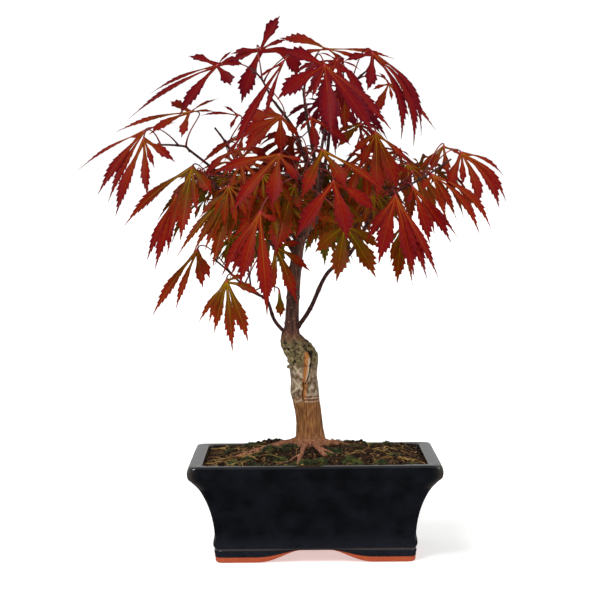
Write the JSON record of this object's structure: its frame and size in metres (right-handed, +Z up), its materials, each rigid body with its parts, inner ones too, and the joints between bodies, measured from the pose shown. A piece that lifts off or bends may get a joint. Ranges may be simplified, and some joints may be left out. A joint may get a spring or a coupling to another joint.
{
  "type": "potted maple bonsai",
  "caption": "Small Japanese maple bonsai with deeply cut dark red leaves, a grafted trunk with surface roots and a glazed rectangular pot.",
  "frame": {"origin": "middle of the overall box, at the level that the pot stands on", "axes": "+Z up, +X to the right and +Y away from the viewer in the picture, along the pot's length and depth"},
  "size_m": [0.33, 0.2442, 0.429],
  "materials": {
    "dark_glaze": "gloss",
    "potting_soil": "matte",
    "maple_bark": "matte",
    "young_maple_bark": "satin",
    "maple_leaf": "satin"
  },
  "bodies": {
    "root": {"bough_back_left": "young_maple_bark", "bough_back_low": "young_maple_bark", "bough_back_mid": "young_maple_bark", "bough_back_right": "young_maple_bark", "bough_back_top": "young_maple_bark", "bough_front": "young_maple_bark", "bough_left_front": "young_maple_bark", "bough_left_high": "young_maple_bark", "bough_left_mid": "young_maple_bark", "bough_low_left": "young_maple_bark", "bough_low_right": "young_maple_bark", "bough_right_high": "young_maple_bark", "bough_top": "young_maple_bark", "bough_top_left": "young_maple_bark", "bough_top_right": "young_maple_bark", "foliage_back_left": "maple_leaf", "foliage_back_low": "maple_leaf", "foliage_back_mid": "maple_leaf", "foliage_back_right": "maple_leaf", "foliage_back_top": "maple_leaf", "foliage_front": "maple_leaf", "foliage_left_front": "maple_leaf", "foliage_left_high": "maple_leaf", "foliage_left_mid": "maple_leaf", "foliage_low_left": "maple_leaf", "foliage_right": "maple_leaf", "foliage_right_high": "maple_leaf", "foliage_top": "maple_leaf", "foliage_top_left": "maple_leaf", "foliage_top_right": "maple_leaf", "pot": "dark_glaze", "soil": "potting_soil", "trunk": "maple_bark"}
  },
  "joints": []
}
